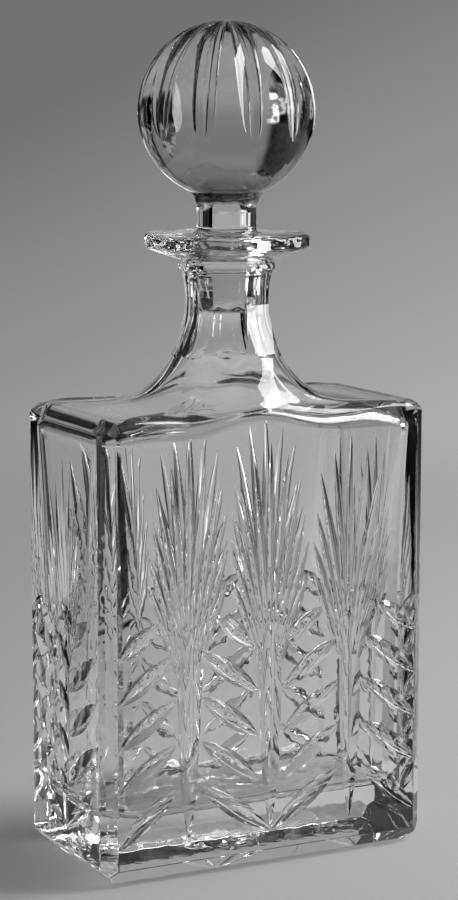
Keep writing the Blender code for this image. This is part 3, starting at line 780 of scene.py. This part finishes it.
# A material's or the world's nodes: one method adds any node.
class Graph:
    def __init__(self, owner):
        owner.use_nodes = True
        self.tree = owner.node_tree
        self.tree.nodes.clear()

    def add(self, kind, settings=None, sockets=None, output=0):
        node = self.tree.nodes.new(kind)
        for name, value in (settings or {}).items():
            setattr(node, name, value)
        for name, value in (sockets or {}).items():
            self.feed(node.inputs[name], value)
        return Value(self, node.outputs[output]) if len(node.outputs) else node

    def feed(self, target, value):
        if isinstance(value, Value):
            self.tree.links.new(value.socket, target)
        else:
            target.default_value = value

    def around(self, turn, middle, half, soft=2.5):
        # 1 within an angle round the decanter, fading to 0
        gap = (turn - math.radians(middle)).maths("COSINE").maths("ARCCOSINE")
        return self.smooth(gap, math.radians(half - soft), math.radians(half + soft), 1.0, 0.0)

    def between(self, lift, foot, top, soft=1.0):
        # 1 between two angles up, fading to 0
        rise = self.smooth(lift, math.radians(foot - soft), math.radians(foot + soft))
        return rise * self.smooth(lift, math.radians(top - soft), math.radians(top + soft), 1.0, 0.0)

    def inGlass(self):
        # 1 for light that comes by way of the glass
        glossy = self.add("ShaderNodeLightPath", {}, {}, "Is Glossy Ray")
        return glossy.maths("MAXIMUM", self.add("ShaderNodeLightPath", {}, {}, "Is Transmission Ray"))

    def smooth(self, value, low, high, start=0.0, end=1.0):
        settings = {"interpolation_type": "SMOOTHSTEP"}
        return self.add("ShaderNodeMapRange", settings, {0: value, 1: low, 2: high, 3: start, 4: end})


glass = {
    "colour": (0.97, 0.98, 0.975, 1),
    "index": 1.545,
    "roughness": 0.004,
    "smudge": 0.010,          # faint handling marks are this much rougher
    "smudgeScale": 45,
    "smudgeFrom": (0.52, 0.75),
    "paintedBallShade": (0.58, 0.585, 0.58, 1),  # painted shade: the ball's glass is tinted darker than the walls'
    "paintedBallShadeFrom": (0.2190, 0.2225),    # heights between which the stem becomes the ball
    "mostTurns": 3.5,                 # light that has turned back more often is partly let out
    "shade": (0.48, 0.48, 0.48, 1),   # how much light one face lets through to the table
    "rippleScale": 60,
    "ripple": 0.00002,
    "unevenScale": 210,
}
# For each piece: the share of trapped light that is let out, whether its ball gets the painted shade, and
# where it is uneven, as foot, top, how softly that ends, and how much more it ripples there
glassPieces = {
    "bottle": {
        "material": "clearBottleGlass", "seed": 1, "letOut": 0.45, "paintedBallShade": False,
        "uneven": ((0.1995, 0.2090, 0.0008, 34), (-0.0200, 0.1100, 0.0200, 5.2))},
    "stopper": {
        "material": "clearStopperGlass", "seed": 7, "letOut": 0.08, "paintedBallShade": True,
        "uneven": ((0.2150, 0.2212, 0.0008, 45), (0.1800, 0.1850, 0.0008, 45))},
}


def glassMaterial(piece):
    material = bpy.data.materials.new(piece["material"])
    graph = Graph(material)
    seed = piece["seed"]
    place = graph.add("ShaderNodeTexCoord", {}, {}, "Object")
    film = graph.add("ShaderNodeTexNoise", {"noise_dimensions": "4D"},
                     {"Vector": place, "W": seed, "Scale": glass["smudgeScale"], "Detail": 3})
    height = graph.add("ShaderNodeSeparateXYZ", {}, {0: place}, "Z")
    rough = glass["roughness"] + graph.smooth(film, *glass["smudgeFrom"]) * glass["smudge"]
    ripple = graph.add("ShaderNodeTexNoise", {"noise_dimensions": "4D"},
                       {"Vector": place, "W": seed + 3, "Scale": glass["rippleScale"], "Detail": 2})
    uneven = graph.add("ShaderNodeTexNoise", {"noise_dimensions": "4D"},
                       {"Vector": place, "W": seed + 5, "Scale": glass["unevenScale"], "Detail": 1})
    for foot, top, soft, more in piece["uneven"]:
        band = graph.smooth(height, foot - soft, foot + soft)
        band = band * graph.smooth(height, top - soft, top + soft, 1.0, 0.0)
        ripple = ripple + band * (uneven - 0.5) * more
    normal = graph.add("ShaderNodeBump", {}, {"Height": ripple, "Strength": 1, "Distance": glass["ripple"]})
    colour = glass["colour"]
    # painted shade: the ball's glass is tinted darker than the rest
    if piece["paintedBallShade"]:
        inBall = graph.smooth(height, *glass["paintedBallShadeFrom"])
        colour = graph.add("ShaderNodeMix", {"data_type": "RGBA"},
                           {0: inBall, 6: colour, 7: glass["paintedBallShade"]}, 2)
    shader = graph.add("ShaderNodeBsdfPrincipled", {}, {
        "Base Color": colour, "Roughness": rough, "IOR": glass["index"],
        "Transmission Weight": 1, "Normal": normal})
    clear = graph.add("ShaderNodeBsdfTransparent", {}, {"Color": glass["shade"]})
    # shadows are clear, and some of the light that has turned back many times inside is let out
    turns = graph.add("ShaderNodeLightPath", {}, {}, "Glossy Depth")
    trapped = turns.maths("GREATER_THAN", glass["mostTurns"])
    shadow = graph.add("ShaderNodeLightPath", {}, {}, "Is Shadow Ray")
    through = shadow.maths("MAXIMUM", trapped * piece["letOut"])
    mixed = graph.add("ShaderNodeMixShader", {}, {0: through, 1: shader, 2: clear})
    graph.add("ShaderNodeOutputMaterial", {}, {"Surface": mixed})
    return material


bottlePiece = makeBottle()
bottlePiece.data.materials.append(glassMaterial(glassPieces["bottle"]))
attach(bottlePiece, "bottle")
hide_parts("decanter_bottle")
print("bottle made")

stopperPiece = makeStopper()
stopperPiece.data.materials.append(glassMaterial(glassPieces["stopper"]))
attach(stopperPiece, "stopper")
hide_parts("ball_stopper")
print("stopper made")


# Table and backdrop, in metres and degrees. The backdrop is brightest low down.
studio = {
    "tableRings": (0.2, 0.5, 1.0, 2.5),
    "tableSteps": 96,
    "tableDrop": 0.00005,     # keeps the table clear of the foot
    "tableFade": (0.30, 1.10),    # it fades into the backdrop from here to here
    "tableColour": (0.50, 0.50, 0.50, 1),
    "glassTable": (0.75, 0.75, 0.75, 1),    # seen in the glass the paper is painted this light, with painted shade near the decanter
    "glassNearShade": (0.25, 0.60, 0.80),        # from, to, and how light it is near by: painted shade near the decanter
    "glow": 0.195,            # the backdrop's brightness at eye level
    "glowSlope": 1.226,       # brightness lost for each radian up
    "glowMost": 0.52,
    "glowLeast": 0.17,
    # seen in the glass: each step starts and ends at these angles up, with these levels or changes
    "glassGlow": ((-10, 2, 0.51, 0.33), (17, 23, 0, -0.06), (22, 48, 0, -0.20)),
    "sway": 0.10,             # how much brighter the right of any view is
    "swayTurns": 6,           # in waves, this many times round
    "view": 62.8,             # the way that the camera looks
    "sweep": (42, 84),        # the paper sweep behind the decanter, in degrees round it
    "sweepHalf": 0.273,       # the paper's left edge, from the decanter's axis
    "sweepSoft": 0.01,
    "tableRightShade": (42, 8, 0.42),    # from heading, to heading, and how light the table is there: painted shade where the lamp lights it
    "tableClose": (0.25, 0.12),     # but not this close to the decanter
    "tableFront": (-0.20, -0.14, 0.05),    # its front edge, this side of the decanter
    "room": (14, 24, 0.30, 0.012),   # right of the sweep it is pale round this heading, and else dark
    "roomFoot": (-15, -9),    # the table hides the room below this
    "roomLow": (125, 37),     # but not round this heading
    # middle, half width, foot, top, and light
    "windows": ((84, 5, -9, 5, 1.5), (98, 9, -14, 1, 0.6), (30, 11, -12, 6, -0.27),
                (-117, 80, 25, 89, 0.24)),
    "mottleScale": 16,        # the room is uneven
    "mottleFrom": (0.42, 0.60),
    "mottle": (0.30, 1.70),
    "fill": 0.20,             # light on the table from all round
}


def makeTable():
    mesh = bmesh.new()
    rings = []
    for radius in studio["tableRings"]:
        ring = roundRing(radius, -studio["tableDrop"], 0, studio["tableSteps"])
        rings.append([mesh.verts.new(point) for point in ring])
    mesh.faces.new(rings[0])
    for lower, upper in zip(rings, rings[1:]):
        joinRings(mesh, upper, lower)
    bmesh.ops.recalc_face_normals(mesh, faces=mesh.faces[:])
    item = makeObject(mesh, "table")
    if item.data.polygons[0].normal.z < 0:
        item.data.flip_normals()
    material = bpy.data.materials.new("palePaper")
    graph = Graph(material)
    place = graph.add("ShaderNodeTexCoord", {}, {}, "Object")
    reach = graph.add("ShaderNodeVectorMath", {"operation": "LENGTH"}, {0: place}, "Value")
    fade = graph.smooth(reach, *studio["tableFade"])
    # seen in the glass, the paper ends at its left edge, is painted lighter than its own colour, and has
    # painted shade near the decanter and far to the right
    x = graph.add("ShaderNodeSeparateXYZ", {}, {0: place}, "X")
    y = graph.add("ShaderNodeSeparateXYZ", {}, {0: place}, "Y")
    view = math.radians(studio["view"])
    left = y * math.cos(view) - x * math.sin(view)
    ahead = x * math.cos(view) + y * math.sin(view)
    edge, soft = studio["sweepHalf"], studio["sweepSoft"]
    lit = graph.smooth(left, edge - soft, edge + soft, 1.0, 0.0)
    lit = lit * graph.smooth(ahead, *studio["tableFront"])
    # painted shade: seen in the glass, the paper is darker near the decanter
    lit = lit * graph.smooth(reach, *studio["glassNearShade"])
    # painted shade: seen in the glass, the paper is darker far to the right, where the lamp lights it
    start, end, least = studio["tableRightShade"]
    turn = y.maths("ARCTAN2", x)
    right = graph.smooth(turn, math.radians(end), math.radians(start), least, 1.0)
    right = right.maths("MAXIMUM", graph.smooth(reach, *studio["tableClose"]))
    shown = graph.add("ShaderNodeMix", {"data_type": "RGBA"},
                      {0: lit * right, 6: (0, 0, 0, 1), 7: studio["glassTable"]}, 2)
    colour = graph.add("ShaderNodeMix", {"data_type": "RGBA"},
                       {0: graph.inGlass(), 6: studio["tableColour"], 7: shown}, 2)
    paper = graph.add("ShaderNodeBsdfPrincipled", {}, {
        "Base Color": colour, "Roughness": 1, "Specular IOR Level": 0})
    gone = graph.add("ShaderNodeBsdfTransparent", {}, {})
    mixed = graph.add("ShaderNodeMixShader", {}, {0: fade, 1: paper, 2: gone})
    graph.add("ShaderNodeOutputMaterial", {}, {"Surface": mixed})
    item.data.materials.append(material)


def makeBackdrop():
    world = bpy.data.worlds.new("studio")
    bpy.context.scene.world = world
    graph = Graph(world)
    heading = graph.add("ShaderNodeTexCoord", {}, {}, "Generated")
    x = graph.add("ShaderNodeSeparateXYZ", {}, {0: heading}, "X")
    y = graph.add("ShaderNodeSeparateXYZ", {}, {0: heading}, "Y")
    z = graph.add("ShaderNodeSeparateXYZ", {}, {0: heading}, "Z")
    lift = z.maths("ARCSINE")
    turn = y.maths("ARCTAN2", x)
    glow = studio["glow"] - lift * studio["glowSlope"]
    sway = ((math.radians(studio["view"]) - turn) * studio["swayTurns"]).maths("SINE") * studio["sway"]
    seen = (glow + sway).maths("MINIMUM", studio["glowMost"]).maths("MAXIMUM", studio["glowLeast"])
    middle, half, pale, dark = studio["room"]
    room = graph.around(turn, middle, half) * (pale - dark) + dark
    for middle, half, foot, top, light in studio["windows"]:
        room = room + graph.around(turn, middle, half, 1.0) * graph.between(lift, foot, top) * light
    mottle = graph.add("ShaderNodeTexNoise", {},
                       {"Vector": heading, "Scale": studio["mottleScale"], "Detail": 3})
    room = room * graph.smooth(mottle, *studio["mottleFrom"], *studio["mottle"])
    first, last = studio["sweep"]
    sweep = graph.around(turn, (first + last) / 2, (last - first) / 2)
    low, high = studio["roomFoot"]
    above = graph.smooth(lift, math.radians(low), math.radians(high))
    above = above.maths("MAXIMUM", graph.around(turn, *studio["roomLow"]))
    aside = (1 - sweep) * above
    paper = 0.0
    for foot, top, low, high in studio["glassGlow"]:
        paper = graph.smooth(lift, math.radians(foot), math.radians(top), low, high) + paper
    around = paper * (1 - aside) + room * aside
    path = graph.add("ShaderNodeLightPath", {}, {}, "Is Camera Ray")
    inGlass = graph.inGlass()
    level = path * seen + (1 - path) * inGlass * around
    level = level + (1 - path.maths("MAXIMUM", inGlass)) * studio["fill"]
    light = graph.add("ShaderNodeBackground", {}, {"Color": (1, 1, 1, 1), "Strength": level})
    graph.add("ShaderNodeOutputWorld", {}, {"Surface": light})


# Lamps: the way they stand from the decanter, in degrees, and their distance, size and power
lampAim = 0.14
lamps = {
    "rightBox": {"turn": -16, "lift": 31, "away": 0.95, "size": (0.42, 1.10), "power": 12.5},
}


def makeLamps():
    target = Vector((0, 0, lampAim))
    for name, lamp in lamps.items():
        light = bpy.data.lights.new(name, "AREA")
        light.shape = "RECTANGLE"
        light.size, light.size_y = lamp["size"]
        light.energy = lamp["power"]
        item = bpy.data.objects.new(name, light)
        turn, lift = math.radians(lamp["turn"]), math.radians(lamp["lift"])
        out = Vector((math.cos(turn) * math.cos(lift), math.sin(turn) * math.cos(lift), math.sin(lift)))
        item.location = target + out * lamp["away"]
        item.rotation_mode = "QUATERNION"
        item.rotation_quaternion = out.to_track_quat("Z", "Y")
        item.visible_camera = False
        bpy.context.scene.collection.objects.link(item)


# Camera, from the photo's perspective: metres and degrees
cameraPlace = {
    "turn": 27.189,
    "aim": 0.055,             # it looks this much beside the decanter's axis
    "tilt": 8.514,
    "away": 0.84008,
    "height": 0.26096,
    "lens": 101.28,
    "sensor": 36,
}


def makeCamera():
    turn, tilt = math.radians(cameraPlace["turn"]), math.radians(cameraPlace["tilt"])
    aim = turn + math.radians(cameraPlace["aim"])
    data = bpy.data.cameras.new("camera")
    data.lens = cameraPlace["lens"]
    data.sensor_width = cameraPlace["sensor"]
    item = bpy.data.objects.new("camera", data)
    away = cameraPlace["away"]
    item.location = (-math.sin(turn) * away, -math.cos(turn) * away, cameraPlace["height"])
    ahead = Vector((math.sin(aim) * math.cos(tilt), math.cos(aim) * math.cos(tilt), -math.sin(tilt)))
    item.rotation_mode = "QUATERNION"
    item.rotation_quaternion = ahead.to_track_quat("-Z", "Y")
    bpy.context.scene.collection.objects.link(item)
    bpy.context.scene.camera = item


makeTable()
makeBackdrop()
makeLamps()
makeCamera()
bpy.context.scene.view_settings.view_transform = "Standard"
print("studio made")
